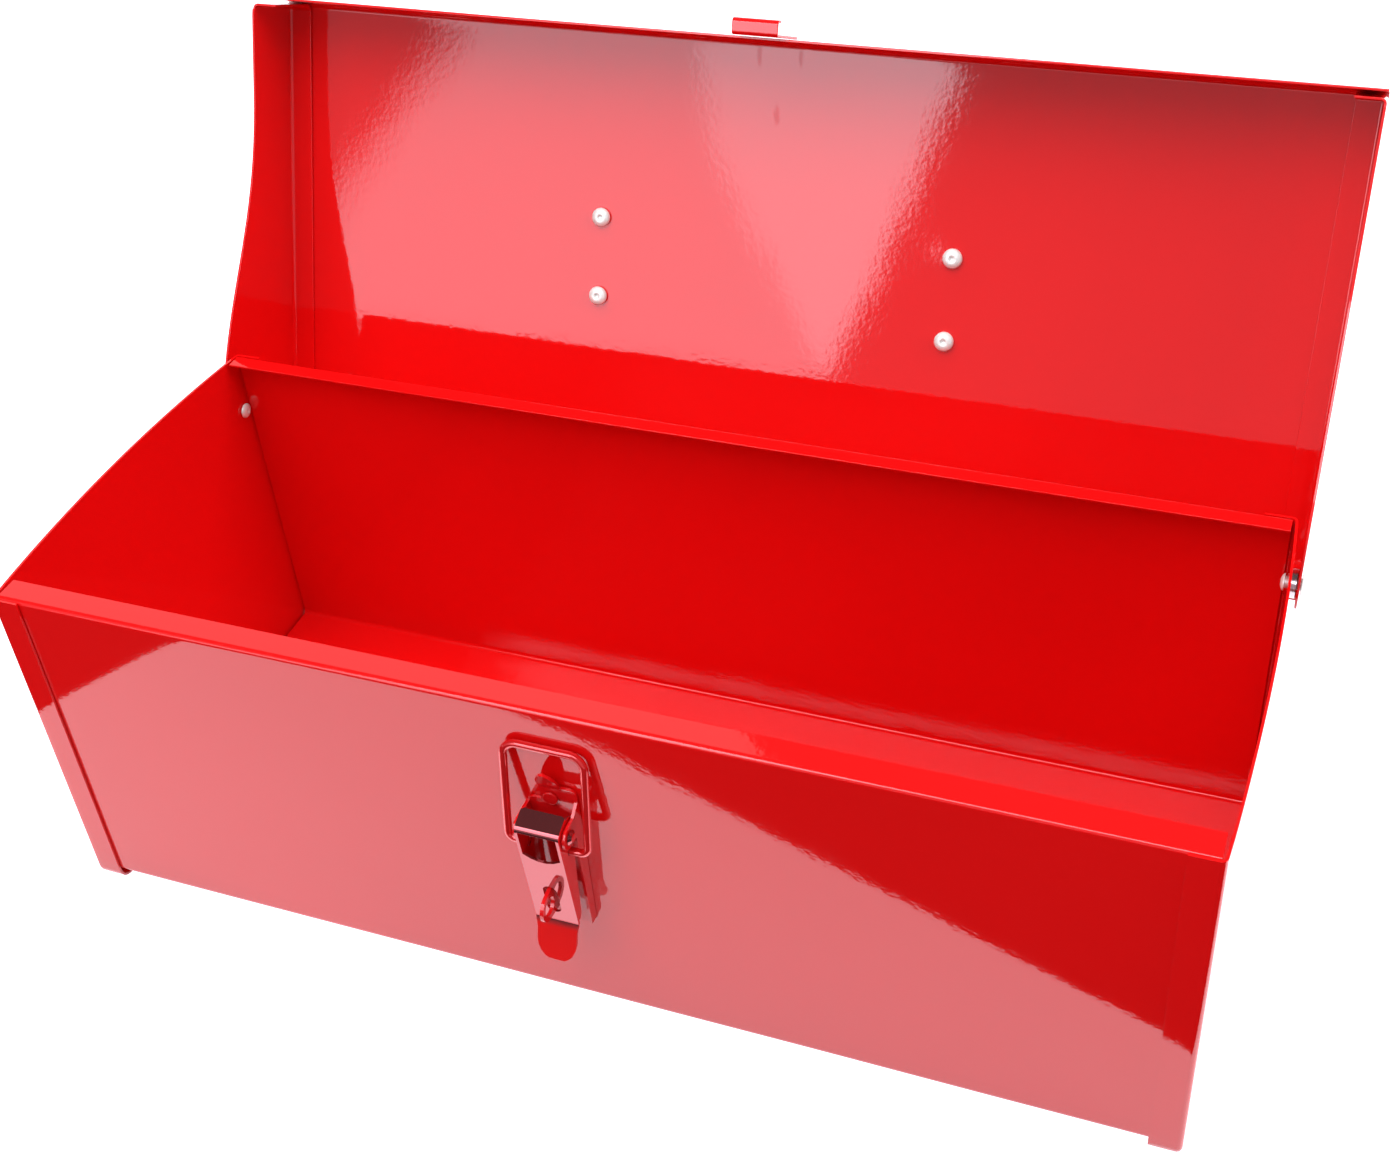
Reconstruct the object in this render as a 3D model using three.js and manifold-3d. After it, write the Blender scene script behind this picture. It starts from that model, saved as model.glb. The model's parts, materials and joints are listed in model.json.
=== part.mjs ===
// A red sheet-steel hand toolbox, standing open: a folded body between two pressed end caps, a
// lid built the same way, a draw latch with a padlock staple, and a folding carrying handle.
// Millimetres. X runs along the box, Y to the rear, Z up. The pieces are laid out from the middle
// of the body's footprint, and the finished model is moved to the middle of its own base.
import * as THREE from 'three';
import { mergeVertices } from 'three/addons/utils/BufferGeometryUtils.js';
import Module from 'manifold-3d';

const wasm = await Module();
wasm.setup();

// ---- Driving dimensions -------------------------------------------------------------------

// Body
const bodyLength = 485;
const bodyDepth = 188;
const rimHeight = 164.5;
const sheet = 1;
const seamGap = 0.3;
const wrapperEndGap = 1;
const bendRadius = 1.5;
const floorBendRadius = 3;
const frontRimWidth = 12;
const rearRimWidth = 8.5;
const footHeight = 5.5;
const capFlangeWidth = 12.7;
const capBendRadius = 2.5;
const capBottomRadius = 7;
const capTopRadius = 4;
const capCrown = 2.5;

// Lid, described closed and then swung open
const openAngle = 111;
const lidRise = 24.8;
const lidSideGap = 4;
const lidFrontClearance = 4.4;
const lidRearClearance = 3.4;
const lidOverlap = 7.2;
const lidFlare = 2;
const lidBendRadius = 3.5;
const lidCapFlangeWidth = 12;
const lidCapCornerRadius = 4;
const hingeInset = 5.8;
const hingeDrop = 28.5;
const hingeBossRadius = 10;
const stopGap = 0.3;

// Rivets
const holeClearance = 0.3;
const hingeShankRadius = 2.5;
const hingeHeadRadius = 3.6;
const hingeHeadHeight = 1.6;
const hingeWasherRadius = 6;
const blindShankRadius = 2.4;
const blindHeadRadius = 4.6;
const blindHeadHeight = 1.3;
const blindTailRadius = 3.9;
const blindTailHeight = 2.6;
const baseShankRadius = 1.6;
const baseHeadRadius = 3;
const baseHeadHeight = 0.9;

// Latch
const latchSheet = 1.2;
const latchPivotOut = 10.8;
const latchPivotDrop = 50.5;
const baseTopDrop = 36.5;
const baseBottomDrop = 109.5;
const baseHalfWidth = 10.6;
const baseLeftDrop = 8;
const baseCornerRadius = 3;
const baseTabHalfWidth = 4.5;
const baseTabHeight = 12;
const baseTabLean = 5;
const earRadius = 5;
const baseFlangeDepth = 4.5;
const baseFlangeDepthLow = 3;
const baseFlangeTopDrop = 5;
const stapleHoleRadius = 4;
const stapleRadius = 6.2;
const stapleDrop = 85.5;
const stapleReach = 22;
const stapleHalfThickness = 0.75;
const leverSideGap = 0.4;
const leverWebTopOut = 6;
const leverWebTopRise = 4.5;
const leverBackReach = 8;
const leverBackRise = 7.9;
const leverBackArch = 21;
const leverHoodRadius = 2.6;
const leverCheekRadius = 7.4;
const leverBendDrop = 48;
const leverBendOut = 1;
const leverTabLength = 17.5;
const leverTabOut = 6;
const leverTabHalfWidth = 8.3;
const leverFlangeDepthLow = 3;
const windowHeight = 12.5;
const windowSag = 3;
const slotHalfWidth = 3;
const slotHalfLength = 8;
const leverPinRadius = 2;
const leverPinHeadRadius = 3.2;
const leverPinHeadHeight = 1.4;
const bailWireRadius = 1.6;
const bailHalfWidth = 16.5;
const bailPivotDrop = 9;
const bailPivotBack = 1.2;
const bailLength = 44;
const bailCornerRadius = 6;
const bailFootRadius = 3.2;
const strikeHalfWidth = 10;
const strikeTrough = 4.4;
const strikeLip = 4;
const strikeUpperReach = 16;

// Handle, described with the lid closed
const bracketSpacing = 165.2;
const bracketHalfWidth = 9;
const bracketSheet = 1.5;
const bracketLength = 54;
const bracketCentre = 3.2;
const rivetPitch = 36.4;
const rodRadius = 3.5;
const rodClearance = 0.4;
const handleReach = 46;
const handleCornerRadius = 16;
const gripRadius = 10;
const gripLength = 104;

// How far a cutting shape reaches past the piece it cuts, and how far joined shapes run into
// each other
const cutReach = 40;
const joinDepth = 0.2;

// Fineness of the round shapes
const bendSteps = 5;
const roundSides = 24;
const smallSides = 20;

// ---- Places worked out from them ----------------------------------------------------------

const capOuterX = bodyLength / 2;
const capInnerX = capOuterX - sheet;
const flangeY = bodyDepth / 2;
const wrapperY = flangeY - sheet - seamGap;
const wrapperBottom = footHeight;
const lidInnerX = capOuterX + lidSideGap;
const lidOuterX = lidInnerX + sheet;
const lidTop = rimHeight + lidRise + sheet;
const lidCapFrontY = -flangeY - lidFrontClearance;
const lidCapRearY = flangeY + lidRearClearance;
const lidCapTop = lidTop - sheet - seamGap;
const lidSheetFrontY = lidCapFrontY - seamGap - sheet;
const lidSheetRearY = lidCapRearY + seamGap + sheet;
const lidLip = rimHeight - lidOverlap;
const hinge = new THREE.Vector2(flangeY - hingeInset, rimHeight - hingeDrop);
const openRadians = THREE.MathUtils.degToRad(openAngle);
const latchPivot = new THREE.Vector2(-wrapperY - latchPivotOut, rimHeight - latchPivotDrop);
const baseTop = rimHeight - baseTopDrop;
const baseBottom = rimHeight - baseBottomDrop;
const stapleHeight = rimHeight - stapleDrop;
const bailPivot = new THREE.Vector2(latchPivot.x + bailPivotBack, latchPivot.y - bailPivotDrop);

// The lower rear edge of the lid sheet comes to rest against the back of the body: this is the
// height, with the lid closed, of the edge that touches it at the open angle.
const rearLip = hinge.y
  + (flangeY + stopGap - hinge.x - Math.cos(openRadians) * (lidSheetRearY - hinge.x)) / Math.sin(openRadians);

// ---- Solids -------------------------------------------------------------------------------

// A closed mesh made into a solid that can be cut and joined.
function solid(geometry) {
  const bare = geometry.clone();
  bare.deleteAttribute('normal');
  bare.deleteAttribute('uv');
  const merged = mergeVertices(bare, 1e-4);
  const vertProperties = new Float32Array(merged.attributes.position.array);
  const triVerts = new Uint32Array(merged.index.array);
  return new wasm.Manifold(new wasm.Mesh({ numProp: 3, vertProperties, triVerts }));
}

function named(name, shape, material) {
  const { vertProperties, triVerts } = shape.getMesh();
  const geometry = new THREE.BufferGeometry();
  geometry.setAttribute('position', new THREE.BufferAttribute(new Float32Array(vertProperties), 3));
  geometry.setIndex(new THREE.BufferAttribute(new Uint32Array(triVerts), 1));
  geometry.computeVertexNormals();
  const mesh = new THREE.Mesh(geometry, material.clone());
  mesh.name = name;
  return mesh;
}

// A block between two opposite corners.
function block(low, high) {
  const size = high.map((value, axis) => value - low[axis]);
  const geometry = new THREE.BoxGeometry(...size);
  geometry.translate(...low.map((value, axis) => value + size[axis] / 2));
  return solid(geometry);
}

// A round bar along X, Y or Z between two places on that axis.
function bar(axis, radius, from, to, centre, sides = roundSides) {
  const geometry = new THREE.CylinderGeometry(radius, radius, to - from, sides);
  geometry.translate(0, (from + to) / 2, 0);
  if (axis === 'x') geometry.rotateZ(-Math.PI / 2);
  if (axis === 'z') geometry.rotateX(Math.PI / 2);
  geometry.translate(...centre);
  return solid(geometry);
}

// An outline drawn in the YZ plane, carried along X between two places. A bevel rounds the edge
// at both ends.
function slab(outline, fromX, toX, bevel = 0) {
  const geometry = new THREE.ExtrudeGeometry(outline, {
    depth: toX - fromX - 2 * bevel,
    curveSegments: bendSteps,
    bevelEnabled: bevel > 0,
    bevelThickness: bevel,
    bevelSize: bevel,
    bevelOffset: -bevel,
    bevelSegments: 3,
  });
  geometry.translate(0, 0, bevel);
  geometry.applyMatrix4(new THREE.Matrix4().makeBasis(
    new THREE.Vector3(0, 1, 0), new THREE.Vector3(0, 0, 1), new THREE.Vector3(1, 0, 0)));
  geometry.translate(fromX, 0, 0);
  return solid(geometry);
}

// An outline drawn in the XZ plane, as seen from the front, carried back between two places on Y.
function frontSlab(outline, frontY, backY) {
  return slab(outline, 0, backY - frontY).rotate([0, 0, -90]).translate([0, backY, 0]);
}

// The cross-section of a bent sheet. The corners are those of the sheet's middle, each with
// the radius of its bend: [y, z, radius].
function sheetOutline(corners, thickness) {
  const points = [];
  const normals = [];
  const last = corners.length - 1;
  corners.forEach(([y, z, radius = 0], index) => {
    const here = new THREE.Vector2(y, z);
    const inward = index > 0 ? here.clone().sub(new THREE.Vector2(...corners[index - 1])).normalize() : null;
    const outward = index < last ? new THREE.Vector2(...corners[index + 1]).sub(here).normalize() : null;
    const leftOf = (direction) => new THREE.Vector2(-direction.y, direction.x);
    if (!inward || !outward) {
      points.push(here);
      normals.push(leftOf(inward ?? outward));
      return;
    }
    const turn = Math.atan2(inward.cross(outward), inward.dot(outward));
    const tangent = radius * Math.tan(Math.abs(turn) / 2);
    const start = here.clone().addScaledVector(inward, -tangent);
    const centre = start.clone().addScaledVector(leftOf(inward), Math.sign(turn) * radius);
    for (let step = 0; step <= bendSteps; step += 1) {
      const angle = turn * step / bendSteps;
      points.push(start.clone().rotateAround(centre, angle));
      normals.push(leftOf(inward).rotateAround(new THREE.Vector2(), angle));
    }
  });
  const side = (sign) => points.map((point, index) => (
    point.clone().addScaledVector(normals[index], sign * thickness / 2)));
  return new THREE.Shape([...side(-1), ...side(1).reverse()]);
}

// A rectangle in the YZ plane with each corner rounded by its own radius, or left square at 0.
// The radii run: low Y low Z, high Y low Z, high Y high Z, low Y high Z.
function roundedOutline(lowY, lowZ, highY, highZ, radii) {
  const outline = new THREE.Shape();
  const corners = [[lowY, lowZ, 1, 1], [highY, lowZ, -1, 1], [highY, highZ, -1, -1], [lowY, highZ, 1, -1]];
  outline.moveTo(lowY, lowZ + radii[0]);
  corners.forEach(([y, z, inY, inZ], index) => {
    const radius = radii[index];
    const startAngle = Math.PI + index * Math.PI / 2;
    if (radius > 0) {
      outline.absarc(y + inY * radius, z + inZ * radius, radius, startAngle, startAngle + Math.PI / 2);
    } else if (index > 0) {
      outline.lineTo(y, z);
    }
  });
  return outline;
}

// A solid of revolution about X: the profile's points are [distance along X, radius].
function turned(profile, centre, sides = roundSides) {
  const points = profile.map(([along, radius]) => new THREE.Vector2(radius, along));
  const geometry = new THREE.LatheGeometry(points, sides);
  geometry.rotateZ(-Math.PI / 2);
  geometry.translate(...centre);
  return solid(geometry);
}

// Every piece on the -X side is the +X piece mirrored.
function mirrored(shape, side) {
  return side < 0 ? shape.mirror([1, 0, 0]) : shape;
}

// ---- Materials ----------------------------------------------------------------------------

const redPaint = new THREE.MeshStandardMaterial({ color: 0xc8080c, roughness: 0.14, metalness: 0 });
const latchPaint = new THREE.MeshStandardMaterial({ color: 0xa80a10, roughness: 0.2, metalness: 0.5 });
const brightAluminium = new THREE.MeshStandardMaterial({ color: 0xdfe0e2, roughness: 0.3, metalness: 1 });
const platedSteel = new THREE.MeshStandardMaterial({ color: 0xb9bcc0, roughness: 0.25, metalness: 1 });
const blackGrip = new THREE.MeshStandardMaterial({ color: 0x18181a, roughness: 0.55, metalness: 0 });

// ---- Body ---------------------------------------------------------------------------------

// One sheet folded into a trough: floor, front and rear, each wall turned inward at its top.
function bodyWrapper() {
  const half = sheet / 2;
  const outline = sheetOutline([
    [-wrapperY + frontRimWidth, rimHeight - half],
    [-wrapperY + half, rimHeight - half, bendRadius],
    [-wrapperY + half, wrapperBottom + half, floorBendRadius],
    [wrapperY - half, wrapperBottom + half, floorBendRadius],
    [wrapperY - half, rimHeight - half, bendRadius],
    [wrapperY - rearRimWidth, rimHeight - half],
  ], sheet);
  const reach = capInnerX - wrapperEndGap;
  let trough = slab(outline, -reach, reach);
  for (const height of baseRivetHeights) {
    const hole = bar('y', baseShankRadius + holeClearance, -wrapperY - 1, -wrapperY + 2 * sheet,
      [0, 0, height], smallSides);
    trough = trough.subtract(hole);
  }
  return trough;
}

// A shallow pan: the end wall with a flange turned in along its front, bottom and rear edges.
function bodyEnd(side) {
  const tall = rimHeight + 4 * capCrown;
  const open = tall + capBendRadius;
  const radii = [capBottomRadius, capBottomRadius, 0, 0];
  const insideRadii = radii.map((radius) => Math.max(radius - sheet, 0));
  const flangeX = capOuterX - capFlangeWidth;
  const outside = slab(roundedOutline(-flangeY, 0, flangeY, open, radii),
    flangeX - capBendRadius, capOuterX, capBendRadius);
  const inside = slab(roundedOutline(-flangeY + sheet, sheet, flangeY - sheet, open + cutReach, insideRadii),
    flangeX - 2 * capBendRadius, capInnerX, capBendRadius - sheet);
  const pan = outside.subtract(inside);
  const kept = slab(capSideOutline(), flangeX, capOuterX + 1);
  const rivetHole = bar('x', hingeShankRadius + holeClearance, capInnerX - 1, capOuterX + 1,
    [0, hinge.x, hinge.y]);
  return mirrored(pan.intersect(kept).subtract(rivetHole), side);
}

// The end seen from the side: its top edge is a shallow arch between two rounded shoulders.
function capSideOutline() {
  const shoulder = rimHeight - 0.2;
  const outline = new THREE.Shape();
  outline.moveTo(-flangeY - 1, -1);
  outline.lineTo(flangeY + 1, -1);
  outline.lineTo(flangeY + 1, shoulder - capTopRadius);
  outline.lineTo(flangeY, shoulder - capTopRadius);
  outline.absarc(flangeY - capTopRadius, shoulder - capTopRadius, capTopRadius, 0, Math.PI / 2);
  outline.quadraticCurveTo(0, shoulder + 2 * capCrown, -flangeY + capTopRadius, shoulder);
  outline.absarc(-flangeY + capTopRadius, shoulder - capTopRadius, capTopRadius, Math.PI / 2, Math.PI);
  outline.lineTo(-flangeY - 1, shoulder - capTopRadius);
  return outline;
}

// ---- Lid ----------------------------------------------------------------------------------

const lidMiddle = lidTop - sheet / 2;
const lidFrontMiddle = lidSheetFrontY + sheet / 2;
const lidRearMiddle = lidSheetRearY - sheet / 2;
const handleRivetPlaces = [-1, 1].flatMap((side) => [-1, 1].map((end) => (
  [side * bracketSpacing / 2, bracketCentre + end * rivetPitch / 2])));

// One sheet folded into a flat roof with a front and a rear skirt. The front one leans out a
// little towards its lip, and stands clear of the body's front.
function lidSheet() {
  const outline = sheetOutline([
    [lidFrontMiddle - lidFlare, lidLip],
    [lidFrontMiddle, lidMiddle, lidBendRadius],
    [lidRearMiddle, lidMiddle, lidBendRadius],
    [lidRearMiddle, rearLip],
  ], sheet);
  let cover = slab(outline, -lidOuterX, lidOuterX);
  for (const [x, y] of handleRivetPlaces) {
    cover = cover.subtract(bar('z', blindShankRadius + holeClearance, lidTop - 2 * sheet, lidTop + 1,
      [x, y, 0], smallSides));
  }
  return cover;
}

// A pan like the body's, with its flange under the lid sheet. Its lower edge runs level from the
// front, then sweeps down to go round the hinge.
function lidEnd(side) {
  const low = hinge.y - hingeBossRadius;
  const open = low - cutReach;
  const radii = [0, 0, lidCapCornerRadius, lidCapCornerRadius];
  const insideRadii = radii.map((radius) => Math.max(radius - sheet, 0));
  const flangeX = lidOuterX - lidCapFlangeWidth;
  const outside = slab(roundedOutline(lidCapFrontY, open, lidCapRearY, lidCapTop, radii),
    flangeX - capBendRadius, lidOuterX, capBendRadius);
  const insideOutline = roundedOutline(lidCapFrontY + sheet, open - cutReach, lidCapRearY - sheet,
    lidCapTop - sheet, insideRadii);
  const inside = slab(insideOutline,
    flangeX - 2 * capBendRadius, lidInnerX, capBendRadius - sheet);
  const pan = outside.subtract(inside);
  const kept = slab(lidSideOutline(), flangeX, lidOuterX + 1);
  const belowRearLip = block([flangeX - 1, lidCapRearY - 3 * sheet, open - 1],
    [lidInnerX - seamGap, lidCapRearY + 1, rearLip]);
  const rivetHole = bar('x', hingeShankRadius + holeClearance, lidInnerX - 1, lidOuterX + 1,
    [0, hinge.x, hinge.y]);
  return mirrored(pan.intersect(kept).subtract(belowRearLip).subtract(rivetHole), side);
}

function lidSideOutline() {
  const low = hinge.y - hingeBossRadius;
  const frontLevel = -0.64 * flangeY;
  const cornerRadius = 3;
  const outline = new THREE.Shape();
  outline.moveTo(lidCapFrontY, lidCapTop + 1);
  outline.lineTo(lidCapFrontY, lidLip + cornerRadius);
  outline.absarc(lidCapFrontY + cornerRadius, lidLip + cornerRadius, cornerRadius, Math.PI, Math.PI * 1.5);
  outline.lineTo(frontLevel, lidLip);
  outline.bezierCurveTo(0.05 * flangeY, lidLip + 1, 0.32 * flangeY, low + 4, hinge.x, low);
  outline.absarc(hinge.x, hinge.y, hingeBossRadius, -Math.PI / 2, -0.12 * Math.PI);
  outline.lineTo(lidCapRearY, lidCapTop + 1);
  return outline;
}

// ---- Hinges -------------------------------------------------------------------------------

// A rivet through the body's end wall, a spacing washer and the lid's end wall.
function hingeRivet(side) {
  const innerFace = capInnerX - seamGap;
  const outerFace = lidOuterX + seamGap;
  const profile = [
    [innerFace - hingeHeadHeight, 0],
    [innerFace - hingeHeadHeight, hingeHeadRadius * 0.45],
    [innerFace - hingeHeadHeight * 0.6, hingeHeadRadius * 0.85],
    [innerFace, hingeHeadRadius],
    [innerFace, hingeShankRadius],
    [outerFace, hingeShankRadius],
    [outerFace, hingeHeadRadius * 1.25],
    [outerFace + hingeHeadHeight * 0.5, hingeHeadRadius],
    [outerFace + hingeHeadHeight * 0.8, hingeHeadRadius * 0.5],
    [outerFace + hingeHeadHeight * 0.8, 0],
  ];
  return mirrored(turned(profile, [0, hinge.x, hinge.y]), side);
}

function hingeWasher(side) {
  const ring = bar('x', hingeWasherRadius, capOuterX + seamGap, lidInnerX - seamGap, [0, hinge.x, hinge.y]);
  const hole = bar('x', hingeShankRadius + holeClearance, capOuterX - 1, lidInnerX + 1,
    [0, hinge.x, hinge.y]);
  return mirrored(ring.subtract(hole), side);
}

// ---- Latch --------------------------------------------------------------------------------

const baseBackY = -wrapperY - seamGap;
const baseFrontY = baseBackY - latchSheet;
const baseRivetHeights = [baseBottom + 7, baseTop - 5];

// A channel riveted to the body's front: its side flanges rise into an ear each for the lever's
// pin, a pointed tab leans out of its top edge, and a pierced staple stands out of it, which
// comes through the lever for a padlock.
function latchBase() {
  const middleY = baseBackY - latchSheet / 2;
  const tabTip = [middleY - baseTabLean, baseTop + Math.sqrt(baseTabHeight ** 2 - baseTabLean ** 2)];
  const profile = sheetOutline([[middleY, baseBottom], [middleY, baseTop, 2], tabTip], latchSheet);
  let base = slab(profile, -baseHalfWidth, baseHalfWidth)
    .intersect(frontSlab(baseFrontOutline(tabTip[1]), baseFrontY - 2 * baseTabLean, -wrapperY));
  base = base.add(staple());
  for (const side of [-1, 1]) base = base.add(mirrored(baseFlange(side), side));
  const pinHole = bar('x', leverPinRadius + holeClearance, -baseHalfWidth - 1, baseHalfWidth + 1,
    [0, latchPivot.x, latchPivot.y], smallSides);
  base = base.subtract(pinHole);
  for (const height of baseRivetHeights) {
    base = base.subtract(bar('y', baseShankRadius + holeClearance, baseFrontY - 1, baseBackY + 1,
      [0, 0, height], smallSides));
  }
  return base;
}

// A side flange of the base: a low wall with a round ear about the pin.
function baseFlange(side) {
  const root = baseFrontY + joinDepth;
  const edge = baseFrontY - baseFlangeDepth;
  const top = baseTop - baseFlangeTopDrop - (side < 0 ? baseLeftDrop / 2 : 0);
  const outline = new THREE.Shape();
  outline.moveTo(root, baseBottom + baseCornerRadius);
  outline.lineTo(baseFrontY - baseFlangeDepthLow, baseBottom + baseCornerRadius);
  outline.lineTo(edge, latchPivot.y - 2 * earRadius);
  outline.lineTo(edge, latchPivot.y - earRadius);
  outline.absarc(latchPivot.x, latchPivot.y, earRadius, -Math.PI / 2, Math.PI / 2, true);
  outline.lineTo(edge, latchPivot.y + earRadius);
  outline.lineTo(root, top);
  return slab(outline, baseHalfWidth - latchSheet, baseHalfWidth);
}

function baseFrontOutline(tipHeight) {
  const corner = baseCornerRadius;
  const shoulder = baseTop + 1;
  const leftShoulder = shoulder - baseLeftDrop;
  const rise = tipHeight + 0.5 - shoulder;
  const outline = new THREE.Shape();
  outline.moveTo(-baseHalfWidth, baseBottom + corner);
  outline.absarc(-baseHalfWidth + corner, baseBottom + corner, corner, Math.PI, Math.PI * 1.5);
  outline.absarc(baseHalfWidth - corner, baseBottom + corner, corner, -Math.PI / 2, 0);
  outline.absarc(baseHalfWidth - corner, shoulder - corner, corner, 0, Math.PI / 2);
  outline.lineTo(baseTabHalfWidth * 0.9, shoulder);
  outline.quadraticCurveTo(baseTabHalfWidth * 1.2, shoulder + rise * 0.6, 0, shoulder + rise);
  outline.quadraticCurveTo(-baseTabHalfWidth * 1.2, shoulder + rise * 0.6, -baseTabHalfWidth, shoulder);
  outline.lineTo(-baseTabHalfWidth, leftShoulder);
  outline.absarc(-baseHalfWidth + corner, leftShoulder - corner, corner, Math.PI / 2, Math.PI);
  return outline;
}

function staple() {
  const reach = baseFrontY - stapleReach;
  const outline = new THREE.Shape();
  outline.moveTo(baseFrontY + joinDepth, stapleHeight + stapleRadius + 4);
  outline.lineTo(reach + stapleRadius, stapleHeight + stapleRadius);
  outline.absarc(reach + stapleRadius, stapleHeight, stapleRadius, Math.PI / 2, Math.PI * 1.5);
  outline.lineTo(baseFrontY + joinDepth, stapleHeight - stapleRadius - 2);
  const tongue = slab(outline, -stapleHalfThickness, stapleHalfThickness);
  return tongue.subtract(bar('x', stapleHoleRadius, -latchSheet, latchSheet,
    [0, reach + stapleRadius, stapleHeight], smallSides));
}

const leverSideX = baseHalfWidth - latchSheet - leverSideGap;
const webTop = [latchPivot.x - leverWebTopOut, latchPivot.y + leverWebTopRise];
const webLow = [latchPivot.x - leverBendOut, latchPivot.y - leverBendDrop];
const tabEnd = [webLow[0] - leverTabOut, webLow[1] - leverTabLength];

// A channel that turns between the base's ears: a web with a window and a slot, a bridge over the
// pivot, a side flange each side, and a rounded finger tab turned out at the bottom.
function latchLever() {
  const bridge = [latchPivot.x - leverWebTopOut + leverBackReach, latchPivot.y + leverBackRise];
  const profile = sheetOutline(
    [tabEnd, [...webLow, leverFlangeDepthLow], [...webTop, leverHoodRadius], bridge], latchSheet);
  const arch = bar('z', leverBackArch, bridge[1] - cutReach * 2, bridge[1] + cutReach,
    [0, bridge[0] + latchSheet - leverBackArch, 0], roundSides * 2);
  let web = slab(profile, -leverSideX, leverSideX).intersect(leverFrontOutline()).intersect(arch);
  web = web.subtract(leverWindow()).subtract(leverSlot());
  for (const side of [-1, 1]) web = web.add(mirrored(leverFlange(bridge), side));
  const pinHole = bar('x', leverPinRadius + holeClearance, -leverSideX - 1, leverSideX + 1,
    [0, latchPivot.x, latchPivot.y], smallSides);
  const bailHole = bar('x', bailWireRadius + holeClearance, -leverSideX - 1, leverSideX + 1,
    [0, bailPivot.x, bailPivot.y], smallSides);
  return web.subtract(pinHole).subtract(bailHole);
}

// The lever seen from the front: straight sides, then the tab's half-round end.
function leverFrontOutline() {
  const radius = leverTabHalfWidth;
  const foot = tabEnd[1] + radius - latchSheet / 2;
  const outline = new THREE.Shape();
  outline.moveTo(-leverSideX, latchPivot.y + cutReach);
  outline.lineTo(-leverSideX, webLow[1] - 1);
  outline.lineTo(-radius, webLow[1] - 5);
  outline.lineTo(-radius, foot);
  outline.absarc(0, foot, radius, Math.PI, Math.PI * 2);
  outline.lineTo(radius, webLow[1] - 5);
  outline.lineTo(leverSideX, webLow[1] - 1);
  outline.lineTo(leverSideX, latchPivot.y + cutReach);
  return frontSlab(outline, latchPivot.x - cutReach, latchPivot.x + cutReach);
}

// The window's lower edge sags in the middle.
function leverWindow() {
  const half = leverSideX - latchSheet;
  const high = webTop[1] - leverHoodRadius / 2;
  const low = high - windowHeight;
  const outline = new THREE.Shape();
  outline.moveTo(-half, high);
  outline.lineTo(-half, low);
  outline.quadraticCurveTo(0, low - 2 * windowSag, half, low);
  outline.lineTo(half, high);
  return frontSlab(outline, webTop[0] - leverBackReach, webTop[0] + leverBackReach / 2);
}

function leverSlot() {
  const outline = new THREE.Shape();
  const straight = slotHalfLength - slotHalfWidth;
  outline.absarc(0, stapleHeight + straight, slotHalfWidth, 0, Math.PI);
  outline.absarc(0, stapleHeight - straight, slotHalfWidth, Math.PI, Math.PI * 2);
  return frontSlab(outline, latchPivot.x - cutReach, latchPivot.x + cutReach);
}

// A side flange of the lever: under the hood it is a round cheek about the pin, then it narrows
// past the bail's foot and runs down to the bend of the finger tab.
function leverFlange(bridge) {
  const web = new THREE.Vector2(...webTop);
  const alongWeb = new THREE.Vector2(...webLow).sub(web).setLength(leverHoodRadius * 0.7);
  const alongBridge = new THREE.Vector2(...bridge).sub(web).setLength(leverHoodRadius * 0.7);
  const back = latchPivot.x + leverCheekRadius;
  const outline = new THREE.Shape();
  outline.moveTo(web.x + alongWeb.x, web.y + alongWeb.y);
  outline.quadraticCurveTo(web.x, web.y, web.x + alongBridge.x, web.y + alongBridge.y);
  outline.lineTo(bridge[0] - latchSheet, bridge[1] - latchSheet / 2);
  outline.absarc(latchPivot.x, latchPivot.y, leverCheekRadius, Math.PI / 3, -Math.PI / 4, true);
  outline.lineTo(back - bailWireRadius * 1.5, bailPivot.y);
  outline.lineTo(back - bailWireRadius * 2, bailPivot.y - 3 * bailWireRadius);
  outline.lineTo(webLow[0] + leverFlangeDepthLow, webLow[1] + leverFlangeDepthLow);
  outline.lineTo(webLow[0] + leverFlangeDepthLow - latchSheet, webLow[1] + latchSheet);
  outline.lineTo(webLow[0], webLow[1] + latchSheet);
  return slab(outline, leverSideX - latchSheet, leverSideX);
}

// The pin that the lever turns on, headed outside both ears of the base.
function leverPin() {
  const face = baseHalfWidth + seamGap;
  const profile = [
    [-face - leverPinHeadHeight, 0],
    [-face - leverPinHeadHeight, leverPinHeadRadius * 0.5],
    [-face, leverPinHeadRadius],
    [-face, leverPinRadius],
    [face, leverPinRadius],
    [face, leverPinHeadRadius],
    [face + leverPinHeadHeight, leverPinHeadRadius * 0.5],
    [face + leverPinHeadHeight, 0],
  ];
  return turned(profile, [0, latchPivot.x, latchPivot.y], smallSides);
}

// A solid bar that follows a curve.
function wire(curve, radius, steps, sides) {
  const section = new THREE.Shape();
  for (let side = 0; side < sides; side += 1) {
    const angle = side / sides * Math.PI * 2;
    const point = [radius * Math.cos(angle), radius * Math.sin(angle)];
    if (side === 0) section.moveTo(...point);
    else section.lineTo(...point);
  }
  section.closePath();
  return solid(new THREE.ExtrudeGeometry(section, { steps, extrudePath: curve, bevelEnabled: false }));
}

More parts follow.
